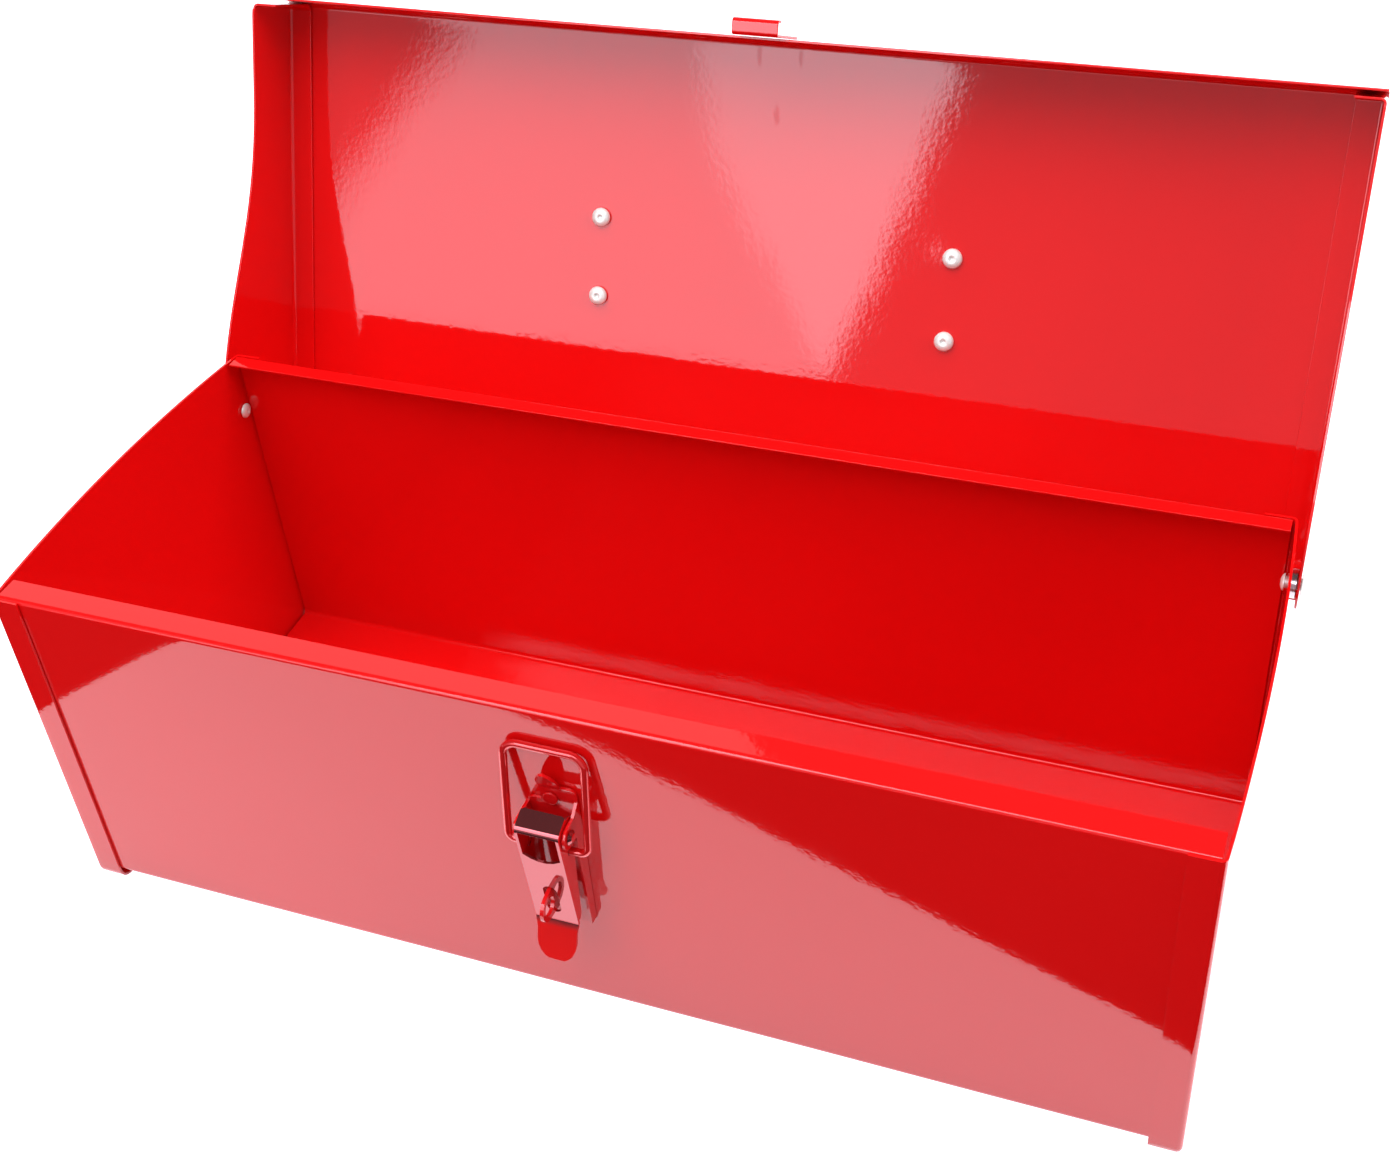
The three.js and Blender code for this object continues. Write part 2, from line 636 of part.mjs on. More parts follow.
// A path in a plane through the X axis, with round corners: each corner is [x, reach, radius].
function roundedPath(corners, place) {
  const path = new THREE.CurvePath();
  let from = place(...corners[0]);
  corners.slice(1, -1).forEach(([x, reach, radius], index) => {
    const corner = place(x, reach);
    const before = place(...corners[index]).sub(corner).normalize();
    const after = place(...corners[index + 2]).sub(corner).normalize();
    const start = corner.clone().addScaledVector(before, radius);
    const end = corner.clone().addScaledVector(after, radius);
    path.add(new THREE.LineCurve3(from, start));
    path.add(new THREE.CubicBezierCurve3(start, corner.clone().addScaledVector(before, radius * 0.448),
      corner.clone().addScaledVector(after, radius * 0.448), end));
    from = end;
  });
  path.add(new THREE.LineCurve3(from, place(...corners[corners.length - 1])));
  return path;
}

// A wire loop whose ends turn inward into the lever's flanges. It rests against the body's front.
const bailRestY = -wrapperY - seamGap - bailWireRadius;
const bailLean = Math.asin((bailRestY - bailPivot.x) / bailLength);

function latchBail() {
  const place = (x, reach) => new THREE.Vector3(
    x, bailPivot.x + reach * Math.sin(bailLean), bailPivot.y + reach * Math.cos(bailLean));
  const innerEnd = leverSideX - latchSheet;
  const path = roundedPath([
    [-innerEnd, 0],
    [-bailHalfWidth, 0, bailFootRadius],
    [-bailHalfWidth, bailLength, bailCornerRadius],
    [bailHalfWidth, bailLength, bailCornerRadius],
    [bailHalfWidth, 0, bailFootRadius],
    [innerEnd, 0],
  ], place);
  return wire(path, bailWireRadius, 72, 12);
}

// Rivets with low heads that hold the latch base to the body's front sheet.
function baseRivet(height) {
  const front = baseFrontY - seamGap;
  const back = -wrapperY + sheet + seamGap;
  const shank = bar('y', baseShankRadius, front - 0.1, back + 0.1, [0, 0, height], smallSides);
  const head = bar('y', baseHeadRadius, front - baseHeadHeight, front, [0, 0, height], smallSides);
  const tail = bar('y', baseHeadRadius, back, back + baseHeadHeight, [0, 0, height], smallSides);
  return shank.add(head).add(tail);
}

// The catch on the lid's front skirt: a plate that reaches down past the lip and turns out into
// a trough for the bail's top bar. The bar, pulled straight down, sits just over the trough.
function lidStrike() {
  const half = latchSheet / 2;
  const slope = lidFlare / (lidMiddle - lidLip);
  const offset = sheet / 2 + seamGap + half;
  const plateY = (height) => lidFrontMiddle - (lidMiddle - height) * slope - offset;
  const troughHeight = bailPivot.y + bailLength - bailWireRadius - seamGap - half;
  const top = lidLip + strikeUpperReach;
  const lipY = plateY(troughHeight) - strikeTrough - latchSheet;
  return slab(sheetOutline([
    [plateY(top), top],
    [plateY(troughHeight), troughHeight, 1.2],
    [lipY, troughHeight, 1.2],
    [lipY, troughHeight + strikeLip],
  ], latchSheet), -strikeHalfWidth, strikeHalfWidth);
}

// ---- Handle -------------------------------------------------------------------------------

const bracketBottom = lidTop + seamGap;
const rodAxis = new THREE.Vector2(bracketCentre, bracketBottom + rodRadius + 0.3);

// A strap riveted at both ends, with a hump in the middle for the handle rod to turn in.
function handleBracket(side) {
  const half = bracketSheet / 2;
  const humpRadius = rodRadius + rodClearance + half;
  const outline = sheetOutline([
    [bracketCentre - bracketLength / 2, bracketBottom + half],
    [bracketCentre - humpRadius - 1.2, bracketBottom + half, 1.2],
    [bracketCentre - humpRadius, rodAxis.y + humpRadius, humpRadius * 0.9],
    [bracketCentre + humpRadius, rodAxis.y + humpRadius, humpRadius * 0.9],
    [bracketCentre + humpRadius + 1.2, bracketBottom + half, 1.2],
    [bracketCentre + bracketLength / 2, bracketBottom + half],
  ], bracketSheet);
  const centre = bracketSpacing / 2;
  let strap = slab(outline, centre - bracketHalfWidth, centre + bracketHalfWidth);
  const plan = roundedOutline(centre - bracketHalfWidth, bracketCentre - bracketLength / 2,
    centre + bracketHalfWidth, bracketCentre + bracketLength / 2, [4, 4, 4, 4]);
  strap = strap.intersect(slab(plan, 0, cutReach).rotate([0, 90, 0]).rotate([0, 0, 90]).mirror([1, 0, 0])
    .translate([0, 0, bracketBottom + cutReach / 2]));
  for (const end of [-1, 1]) {
    strap = strap.subtract(bar('z', blindShankRadius + holeClearance, bracketBottom - 1,
      bracketBottom + 2 * bracketSheet, [centre, bracketCentre + end * rivetPitch / 2, 0], smallSides));
  }
  return mirrored(strap, side);
}

// A blind rivet: its low dome lies on the bracket, and its drawn tail with the broken mandrel
// stands inside the lid.
function handleRivet([x, y]) {
  const headFace = bracketBottom + bracketSheet + seamGap;
  const tailFace = lidTop - sheet - seamGap;
  const profile = [
    [tailFace - blindTailHeight * 0.8, 0],
    [tailFace - blindTailHeight * 0.8, blindTailRadius * 0.3],
    [tailFace - blindTailHeight, blindTailRadius * 0.4],
    [tailFace - blindTailHeight * 0.85, blindTailRadius * 0.8],
    [tailFace - blindTailHeight * 0.45, blindTailRadius],
    [tailFace, blindTailRadius * 0.9],
    [tailFace, blindShankRadius],
    [headFace, blindShankRadius],
    [headFace, blindHeadRadius],
    [headFace + blindHeadHeight * 0.5, blindHeadRadius * 0.8],
    [headFace + blindHeadHeight, blindHeadRadius * 0.4],
    [headFace + blindHeadHeight, 0],
  ];
  return turned(profile, [0, 0, 0], smallSides).rotate([0, -90, 0]).translate([x, y, 0]);
}

// With the lid open the handle hangs straight down from its brackets, unless its grip comes to
// rest on the roof first. The angle is measured from the roof's rearward direction.
const gripRestAngle = Math.asin((bracketBottom + gripRadius - rodAxis.y) / handleReach);
const hangAngle = Math.max(openRadians - Math.PI / 2, gripRestAngle);
const rodInnerX = bracketSpacing / 2 - bracketHalfWidth - rodRadius - 1;
const rodOuterX = bracketSpacing / 2 + bracketHalfWidth + 2;

function handlePlace(x, reach) {
  return new THREE.Vector3(
    x, rodAxis.x + reach * Math.cos(hangAngle), rodAxis.y + reach * Math.sin(hangAngle));
}

// A bent rod: its ends turn outward through the brackets, and its middle carries the grip.
function handleRod() {
  const path = roundedPath([
    [-rodOuterX, 0],
    [-rodInnerX, 0, rodRadius + 1.5],
    [-rodInnerX, handleReach, handleCornerRadius],
    [rodInnerX, handleReach, handleCornerRadius],
    [rodInnerX, 0, rodRadius + 1.5],
    [rodOuterX, 0],
  ], handlePlace);
  return wire(path, rodRadius, 84, 14);
}

function handleGrip() {
  const half = gripLength / 2;
  const bore = rodRadius + seamGap;
  const profile = [
    [-half, bore],
    [-half, gripRadius - 2],
    [-half + 0.8, gripRadius - 0.6],
    [-half + 2.2, gripRadius],
    [half - 2.2, gripRadius],
    [half - 0.8, gripRadius - 0.6],
    [half, gripRadius - 2],
    [half, bore],
    [-half, bore],
  ];
  const centre = handlePlace(0, handleReach);
  return turned(profile, [0, centre.y, centre.z]);
}

// ---- Assembly -----------------------------------------------------------------------------

const sides = { left: -1, right: 1 };
const body = new THREE.Group();
body.add(named('body_wrapper', bodyWrapper(), redPaint));
body.add(named('latch_base', latchBase(), latchPaint));
body.add(named('latch_rivet_lower', baseRivet(baseRivetHeights[0]), latchPaint));
body.add(named('latch_rivet_upper', baseRivet(baseRivetHeights[1]), latchPaint));
body.add(named('latch_pin', leverPin(), latchPaint));
body.add(named('latch_lever', latchLever(), latchPaint));
body.add(named('latch_bail', latchBail(), latchPaint));

// The lid turns about the hinge rivets' axis: its pieces are placed closed, in a frame at the
// hinge, and the frame is turned back to the open angle.
const lid = new THREE.Group();
const lidFrame = new THREE.Group();
lid.position.set(0, hinge.x, hinge.y);
lid.rotation.x = -openRadians;
lidFrame.position.set(0, -hinge.x, -hinge.y);
lid.add(lidFrame);
lidFrame.add(named('lid_sheet', lidSheet(), redPaint));
lidFrame.add(named('lid_strike', lidStrike(), redPaint));
lidFrame.add(named('handle_rod', handleRod(), platedSteel));
lidFrame.add(named('handle_grip', handleGrip(), blackGrip));

for (const [name, side] of Object.entries(sides)) {
  body.add(named(`body_end_${name}`, bodyEnd(side), redPaint));
  body.add(named(`hinge_rivet_${name}`, hingeRivet(side), brightAluminium));
  body.add(named(`hinge_washer_${name}`, hingeWasher(side), platedSteel));
  lidFrame.add(named(`lid_end_${name}`, lidEnd(side), redPaint));
  lidFrame.add(named(`handle_bracket_${name}`, handleBracket(side), platedSteel));
}
const rivetNames = ['left_front', 'left_rear', 'right_front', 'right_rear'];
handleRivetPlaces.forEach((place, index) => {
  lidFrame.add(named(`handle_rivet_${rivetNames[index]}`, handleRivet(place), brightAluminium));
});

// The model's origin is the middle of the base of its bounding box.
const toolbox = new THREE.Group();
toolbox.add(body, lid);
toolbox.updateMatrixWorld(true);
const extent = new THREE.Box3().setFromObject(toolbox, true);
toolbox.position.y = -(extent.min.y + extent.max.y) / 2;

export default toolbox;
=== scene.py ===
import json
import math

import bmesh
import bpy
from mathutils import Matrix, Vector, noise


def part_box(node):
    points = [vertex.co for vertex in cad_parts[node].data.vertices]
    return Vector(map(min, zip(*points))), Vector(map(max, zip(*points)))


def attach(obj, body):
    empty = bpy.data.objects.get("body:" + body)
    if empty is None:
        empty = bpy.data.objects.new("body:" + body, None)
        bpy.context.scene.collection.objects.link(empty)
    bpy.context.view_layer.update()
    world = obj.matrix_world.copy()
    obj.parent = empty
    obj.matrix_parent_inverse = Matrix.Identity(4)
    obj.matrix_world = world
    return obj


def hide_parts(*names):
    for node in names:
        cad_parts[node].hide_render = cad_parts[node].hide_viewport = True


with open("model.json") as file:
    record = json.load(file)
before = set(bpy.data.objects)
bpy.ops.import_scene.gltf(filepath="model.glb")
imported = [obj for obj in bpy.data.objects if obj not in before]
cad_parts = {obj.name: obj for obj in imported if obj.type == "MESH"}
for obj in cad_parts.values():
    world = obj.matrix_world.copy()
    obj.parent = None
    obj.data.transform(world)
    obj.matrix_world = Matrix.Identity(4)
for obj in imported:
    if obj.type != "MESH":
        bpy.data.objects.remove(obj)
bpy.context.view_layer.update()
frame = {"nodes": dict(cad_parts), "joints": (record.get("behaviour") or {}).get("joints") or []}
MM = 0.001


# ---- Camera ----------------------------------------------------------------------------------
# The view looks down into the open box from its front right, a little over half a metre away.
# Its place is given from the middle of the body's footprint.
body_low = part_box("body_end_left")[0]
body_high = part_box("body_end_right")[1]
footprint_middle = Vector(((body_low.x + body_high.x) / 2, (body_low.y + body_high.y) / 2, 0))

camera_data = bpy.data.cameras.new("camera")
camera_data.sensor_fit = "HORIZONTAL"
camera_data.sensor_width = 36
camera_data.lens = 48.0
camera = bpy.data.objects.new("camera", camera_data)
bpy.context.scene.collection.objects.link(camera)
camera_place = footprint_middle + Vector((254.9, -517.4, 617.8)) * MM
camera_turn, camera_tilt, camera_roll = (math.radians(angle) for angle in (23.96, 51.07, -5.3))
camera.matrix_world = (
    Matrix.Translation(camera_place)
    @ Matrix.Rotation(camera_turn, 4, "Z")
    @ Matrix.Rotation(camera_tilt, 4, "X")
    @ Matrix.Rotation(camera_roll, 4, "Z")
)
bpy.context.scene.camera = camera


# ---- Studio ----------------------------------------------------------------------------------
# A white table, lit softly from above and from the front left. Cards that only gloss can see
# stand in for the window, and for the dark room past the table's edge.
def plain_finish(name, colour, glow=0.0):
    material = bpy.data.materials.new(name)
    material.use_nodes = True
    shader = material.node_tree.nodes["Principled BSDF"]
    shader.inputs["Base Color"].default_value = (*colour, 1)
    shader.inputs["Roughness"].default_value = 0.8
    shader.inputs["Specular IOR Level"].default_value = 0.1
    shader.inputs["Emission Color"].default_value = (1, 1, 1, 1)
    shader.inputs["Emission Strength"].default_value = glow
    return material


def studio_card(name, corners, material, gloss_only=True):
    mesh = bpy.data.meshes.new(name)
    mesh.from_pydata([footprint_middle + Vector(corner) * MM for corner in corners], [],
                     [range(len(corners))])
    mesh.materials.append(material)
    card = bpy.data.objects.new(name, mesh)
    bpy.context.scene.collection.objects.link(card)
    if gloss_only:
        card.visible_camera = False
        card.visible_diffuse = False
        card.visible_shadow = False
        card.visible_transmission = False
    return card


table_white = plain_finish("table_white", (0.35, 0.35, 0.35))
dark_room = plain_finish("dark_room", (0.012, 0.01, 0.01))
table_nodes = table_white.node_tree
table_nodes.nodes["Principled BSDF"].inputs["Emission Color"].default_value = (1, 0.93, 1.02, 1)
table_path = table_nodes.nodes.new("ShaderNodeLightPath")
table_glow = table_nodes.nodes.new("ShaderNodeMapRange")
table_glow.inputs["To Min"].default_value = 1.4
table_glow.inputs["To Max"].default_value = 0.1
table_nodes.links.new(table_path.outputs["Is Diffuse Ray"], table_glow.inputs["Value"])
table_nodes.links.new(table_glow.outputs["Result"],
                      table_nodes.nodes["Principled BSDF"].inputs["Emission Strength"])
table_half, table_drop = 6000, -0.4
studio_card("table", [(-table_half, -table_half, table_drop), (table_half, -table_half, table_drop),
                      (table_half, table_half, table_drop), (-table_half, table_half, table_drop)],
            table_white, gloss_only=False)
studio_card("room_past_table", [(-273, -297, 0.2), (-664, 400, 0.2), (-2000, 400, 0.2),
                                (-2000, -1800, 0.2), (3000, -1800, 0.2), (3000, 700, 0.2),
                                (420, -91, 0.2)], dark_room)


def maths(tree, operation, *values):
    """A math node. Each value is a number or another node's output."""
    node = tree.nodes.new("ShaderNodeMath")
    node.operation = operation
    for socket, value in zip(node.inputs, values):
        if isinstance(value, float):
            socket.default_value = value
        else:
            tree.links.new(value, socket)
    return node.outputs[0]


def window_card(name, corners, panes, wall_level):
    """A wall that glows faintly, with panes of brighter light whose sides fade out. Each side of
    a pane is two points on the wall and how far the light takes to fade across it; the light
    lies to the left of the way from the first to the second."""
    card = studio_card(name, corners, plain_finish(name, (0, 0, 0)))
    tree = card.data.materials[0].node_tree
    place = tree.nodes.new("ShaderNodeTexCoord")
    total = None
    for sides, level in panes:
        light = level
        for (x1, z1), (x2, z2), fade in sides:
            inward = Vector((-(z2 - z1), x2 - x1)).normalized()
            distance = tree.nodes.new("ShaderNodeVectorMath")
            distance.operation = "DOT_PRODUCT"
            distance.inputs[1].default_value = (inward.x, 0, inward.y)
            tree.links.new(place.outputs["Object"], distance.inputs[0])
            ramp = tree.nodes.new("ShaderNodeMapRange")
            ramp.interpolation_type = "SMOOTHSTEP"
            edge = inward.x * (footprint_middle.x + x1 * MM) + inward.y * z1 * MM
            ramp.inputs["From Min"].default_value = edge - fade * MM
            ramp.inputs["From Max"].default_value = edge + fade * MM
            tree.links.new(distance.outputs["Value"], ramp.inputs["Value"])
            light = maths(tree, "MULTIPLY", ramp.outputs["Result"], light)
        total = maths(tree, "MAXIMUM", light, wall_level if total is None else total)
    shader = tree.nodes["Principled BSDF"]
    shader.inputs["Emission Color"].default_value = (0.9, 0.97, 1.08, 1)
    tree.links.new(total, shader.inputs["Emission Strength"])


wide_pane = ([((-1275, 362), (-423, 371), 4), ((-423, 370), (-309, 830), 40),
              ((-280, 1500), (-1000, 1500), 60), ((-1000, 1100), (-1141, 795), 90),
              ((-1141, 795), (-1262, 590), 70)], 2.75)
narrow_pane = ([((-500, 376), (-423, 371), 4), ((-423, 370), (-309, 830), 26),
                ((-309, 1500), (-732, 1500), 60), ((-732, 830), (-668, 645), 50),
                ((-668, 645), (-471, 396), 40)], 3.9)
upper_pane = ([((-1100, 1290), (700, 1290), 50), ((700, 1200), (700, 2200), 60),
               ((-1100, 2200), (-1100, 1200), 60)], 5.0)
window_card("window_wall", [(-2600, -1500, 250), (2600, -1500, 250), (2600, -1500, 2200),
                            (-2600, -1500, 2200)], (wide_pane, narrow_pane, upper_pane), 0.42)
studio_card("rear_wall", [(-560, 1500, 700), (-560, 1500, 2300), (-2600, 1500, 2300),
                          (-2600, 1500, 700)], plain_finish("rear_wall", (0, 0, 0), glow=0.75))


def soft_light(name, place, aim, size, power):
    light = bpy.data.lights.new(name, "AREA")
    light.shape = "SQUARE"
    light.size = size
    light.energy = power
    lamp = bpy.data.objects.new(name, light)
    bpy.context.scene.collection.objects.link(lamp)
    place, aim = Vector(place), Vector(aim)
    turn = (place - aim).to_track_quat("Z", "Y").to_matrix().to_4x4()
    lamp.matrix_world = Matrix.Translation(place) @ turn
    lamp.visible_glossy = False
    lamp.visible_camera = False


soft_light("overhead_softbox", (-0.35, -0.45, 2.0), (0, 0, 0.1), 2.0, 52)
soft_light("front_left_softbox", (-1.5, -1.7, 1.3), (0, 0, 0.12), 1.4, 11)
soft_light("rear_softbox", (0.6, 1.9, 1.2), (0, 0.05, 0.15), 1.4, 12)
soft_light("right_softbox", (1.7, 0.2, 1.3), (0, 0, 0.15), 1.2, 26)

world = bpy.data.worlds.new("room")
world.use_nodes = True
world.node_tree.nodes["Background"].inputs["Color"].default_value = (1, 1, 1, 1)
light_path = world.node_tree.nodes.new("ShaderNodeLightPath")
room_level = world.node_tree.nodes.new("ShaderNodeMapRange")
room_level.inputs["To Min"].default_value = 0.3
room_level.inputs["To Max"].default_value = 0.1
world.node_tree.links.new(light_path.outputs["Is Glossy Ray"], room_level.inputs["Value"])
world.node_tree.links.new(room_level.outputs["Result"],
                          world.node_tree.nodes["Background"].inputs["Strength"])
bpy.context.scene.world = world
bpy.context.scene.view_settings.view_transform = "Standard"


# ---- Red enamel ------------------------------------------------------------------------------
# Baked enamel sprayed on the bare steel: a thick gloss film with fine orange peel and slow sags.
# The film's group is shared by the box's enamel, the latch's coats and the grip's skin.
def enamel_film_group():
    group = bpy.data.node_groups.new("enamel_film", "ShaderNodeTree")
    sockets = (("Peel Size", 450.0), ("Peel Depth", 0.01), ("Sag Size", 30.0), ("Sag Depth", 0.1),
               ("Gloss", 0.04))
    for name, value in sockets:
        socket = group.interface.new_socket(name, in_out="INPUT", socket_type="NodeSocketFloat")
        socket.default_value = value
    for name in ("Height", "Roughness", "Shade"):
        group.interface.new_socket(name, in_out="OUTPUT", socket_type="NodeSocketFloat")
    nodes, links = group.nodes, group.links
    entry, leave = nodes.new("NodeGroupInput"), nodes.new("NodeGroupOutput")
    place = nodes.new("ShaderNodeTexCoord")

    def cloud(scale, detail):
        node = nodes.new("ShaderNodeTexNoise")
        node.inputs["Detail"].default_value = detail
        links.new(place.outputs["Object"], node.inputs["Vector"])
        if isinstance(scale, float):
            node.inputs["Scale"].default_value = scale
        else:
            links.new(scale, node.inputs["Scale"])
        return node.outputs["Fac"]

    peel = maths(group, "MULTIPLY", cloud(entry.outputs["Peel Size"], 1.0), entry.outputs["Peel Depth"])
    sag = maths(group, "MULTIPLY", cloud(entry.outputs["Sag Size"], 0.0), entry.outputs["Sag Depth"])
    links.new(maths(group, "ADD", peel, sag), leave.inputs["Height"])
    haze, haze_strength = cloud(60.0, 3.0), 0.03
    links.new(maths(group, "MULTIPLY_ADD", haze, haze_strength, entry.outputs["Gloss"]),
              leave.inputs["Roughness"])
    links.new(cloud(9.0, 2.0), leave.inputs["Shade"])
    return group


enamel_film = enamel_film_group()


def enamel(name, light, dark, film, ior, metallic=0.0, coat=0.0):
    """An enamel whose colour drifts between light and dark, with the film's own relief."""
    material = bpy.data.materials.new(name)
    material.use_nodes = True
    nodes, links = material.node_tree.nodes, material.node_tree.links
    shader = nodes["Principled BSDF"]
    shader.inputs["IOR"].default_value = ior
    shader.inputs["Metallic"].default_value = metallic
    shader.inputs["Coat Weight"].default_value = coat
    shader.inputs["Coat Roughness"].default_value = 0.03
    layer = nodes.new("ShaderNodeGroup")
    layer.node_tree = enamel_film
    for socket, value in film.items():
        layer.inputs[socket].default_value = value
    colour = nodes.new("ShaderNodeMix")
    colour.data_type = "RGBA"
    colour.inputs["A"].default_value = (*dark, 1)
    colour.inputs["B"].default_value = (*light, 1)
    links.new(layer.outputs["Shade"], colour.inputs["Factor"])
    links.new(colour.outputs["Result"], shader.inputs["Base Color"])
    links.new(layer.outputs["Roughness"], shader.inputs["Roughness"])
    relief = nodes.new("ShaderNodeBump")
    relief.inputs["Distance"].default_value = MM
    links.new(layer.outputs["Height"], relief.inputs["Height"])
    links.new(relief.outputs["Normal"], shader.inputs["Normal"])
    return material


red_enamel = enamel("red_enamel", (0.77, 0.0042, 0.0048), (0.7, 0.0034, 0.004),
                    {"Peel Size": 420.0, "Peel Depth": 0.017, "Sag Size": 55.0, "Sag Depth": 0.03,
                     "Gloss": 0.03}, ior=1.66)


# ---- Body sheet ------------------------------------------------------------------------------
# One sheet of mild steel, folded on a press brake into floor, front and back, with the top of
# each wall turned inward as a rim. It is spot-welded inside the end caps.
sheet = 1.0 * MM
half = sheet / 2


def folded_path(corners, longest=6 * MM):
    """The middle line of a folded sheet. Each corner is (y, z, bend radius)."""
    line, steps = [], 7
    for index, (y, z, radius) in enumerate(corners):
        here = Vector((y, z))
        if radius == 0:
            line.append(here)
            continue
        back = (Vector(corners[index - 1][:2]) - here).normalized()
        ahead = (Vector(corners[index + 1][:2]) - here).normalized()
        half_angle = back.angle(ahead) / 2
        centre = here + (back + ahead).normalized() * radius / math.sin(half_angle)
        start = here + back * radius / math.tan(half_angle) - centre
        end = here + ahead * radius / math.tan(half_angle) - centre
        turn = math.atan2(start.x * end.y - start.y * end.x, start.dot(end))
        for step in range(steps + 1):
            line.append(centre + Matrix.Rotation(turn * step / steps, 2) @ start)
    fine = [line[0]]
    for point in line[1:]:
        gap = point - fine[-1]
        pieces = max(1, math.ceil(gap.length / longest))
        start = fine[-1]
        fine += [start + gap * piece / pieces for piece in range(1, pieces + 1)]
    return fine


def stations(start, end, step, fine_from=None, fine_to=None, fine_step=None):
    """Places along a sheet, closer together where small marks need them."""
    count = math.ceil((end - start) / step)
    places = {round(start + (end - start) * index / count, 7) for index in range(count + 1)}
    if fine_step:
        fine_count = math.ceil((fine_to - fine_from) / fine_step)
        places = {place for place in places if not fine_from < place < fine_to}
        places |= {round(fine_from + (fine_to - fine_from) * index / fine_count, 7)
                   for index in range(fine_count + 1)}
    return sorted(places)


def buckle(point, normal, depth, size, dents=()):
    """How far a thin panel stands out of true at a point: slow waves, and small dents."""
    offset = depth * noise.noise(point / size)
    for centre, radius, fall in dents:
        offset -= fall * math.exp(-((point - centre).length / radius) ** 2)
    return normal * offset


def finished(piece, thickness=0.0, edge=0.18 * MM, edge_angle=50, segments=2):
    """Gives a piece its wall and softened edges, and makes the result a plain mesh."""
    if thickness:
        wall = piece.modifiers.new("wall", "SOLIDIFY")
        wall.thickness = thickness
        wall.offset = 0
        wall.use_even_offset = True
    if edge:
        softening = piece.modifiers.new("softening", "BEVEL")
        softening.width = edge
        softening.segments = segments
        softening.limit_method = "ANGLE"
        softening.angle_limit = math.radians(edge_angle)
        softening.harden_normals = False
    shading = piece.modifiers.new("shading", "WEIGHTED_NORMAL")
    shading.keep_sharp = True
    piece.data.shade_smooth()
    graph = bpy.context.evaluated_depsgraph_get()
    mesh = bpy.data.meshes.new_from_object(piece.evaluated_get(graph), preserve_all_data_layers=True,
                                           depsgraph=graph)
    piece.modifiers.clear()
    rough = piece.data
    piece.data = mesh
    bpy.data.meshes.remove(rough)
    return piece


def placed(name, shape, material):
    """A new piece from a bmesh."""
    mesh = bpy.data.meshes.new(name)
    shape.to_mesh(mesh)
    shape.free()
    mesh.materials.append(material)
    piece = bpy.data.objects.new(name, mesh)
    bpy.context.scene.collection.objects.link(piece)
    return piece


def folded_sheet(path, places, wave, dents=()):
    """A sheet of the path's section along X, as a single surface that is a little out of true."""
    shape = bmesh.new()
    rows = [[shape.verts.new((x, *point)) for point in path] for x in places]
    for row, following in zip(rows, rows[1:]):
        for index in range(len(path) - 1):
            shape.faces.new((row[index], following[index], following[index + 1], row[index + 1]))
    shape.normal_update()
    for vert, shift in [(vert, buckle(vert.co, vert.normal, *wave, dents)) for vert in shape.verts]:
        vert.co += shift
    return shape


def fitted(piece, body, node):
    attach(piece, body)
    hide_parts(node)


wrapper_low, wrapper_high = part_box("body_wrapper")
front_rim, rear_rim = 12 * MM, 8.5 * MM
rim_bend, floor_bend = 1.5 * MM, 3 * MM
body_path = folded_path([
    (wrapper_low.y + front_rim, wrapper_high.z - half, 0),
    (wrapper_low.y + half, wrapper_high.z - half, rim_bend),
    (wrapper_low.y + half, wrapper_low.z + half, floor_bend),
    (wrapper_high.y - half, wrapper_low.z + half, floor_bend),
    (wrapper_high.y - half, wrapper_high.z - half, rim_bend),
    (wrapper_high.y - rear_rim, wrapper_high.z - half, 0),
])
body_shape = folded_sheet(body_path, stations(wrapper_low.x, wrapper_high.x, 6 * MM),
                          (0.10 * MM, 90 * MM))
body_sheet = finished(placed("body_sheet", body_shape, red_enamel), sheet)
fitted(body_sheet, "body", "body_wrapper")


# ---- Body end caps ---------------------------------------------------------------------------
# Shallow steel pans that close the ends. The flange round three sides wraps the outside of the
# body sheet and is spot-welded to it, and its lower edge is what the box stands on.
def bowed(shape, wall, side, bow, cells=14):
    """Cuts a flat wall into cells and bows it outwards, most at the middle of its top."""
    low = Vector(map(min, zip(*(vert.co for vert in wall.verts))))
    high = Vector(map(max, zip(*(vert.co for vert in wall.verts))))

    def on_wall(vert):
        return abs(vert.co.x - low.x) < 0.001 * MM

    for axis in (1, 2):
        for cell in range(1, cells):
            cut = low.copy()
            cut[axis] += (high[axis] - low[axis]) * cell / cells
            faces = [face for face in shape.faces if all(map(on_wall, face.verts))]
            edges = {edge for face in faces for edge in face.edges}
            bmesh.ops.bisect_plane(shape, geom=faces + list(edges), plane_co=cut,
                                   plane_no=Vector((0, axis == 1, axis == 2)))
    for vert in filter(on_wall, list(shape.verts)):
        across = (vert.co.y - low.y) / (high.y - low.y)
        height = (vert.co.z - low.z) / (high.z - low.z)
        vert.co.x += side * bow * math.sin(math.pi * across) ** 0.8 * math.sin(math.pi / 2 * height)


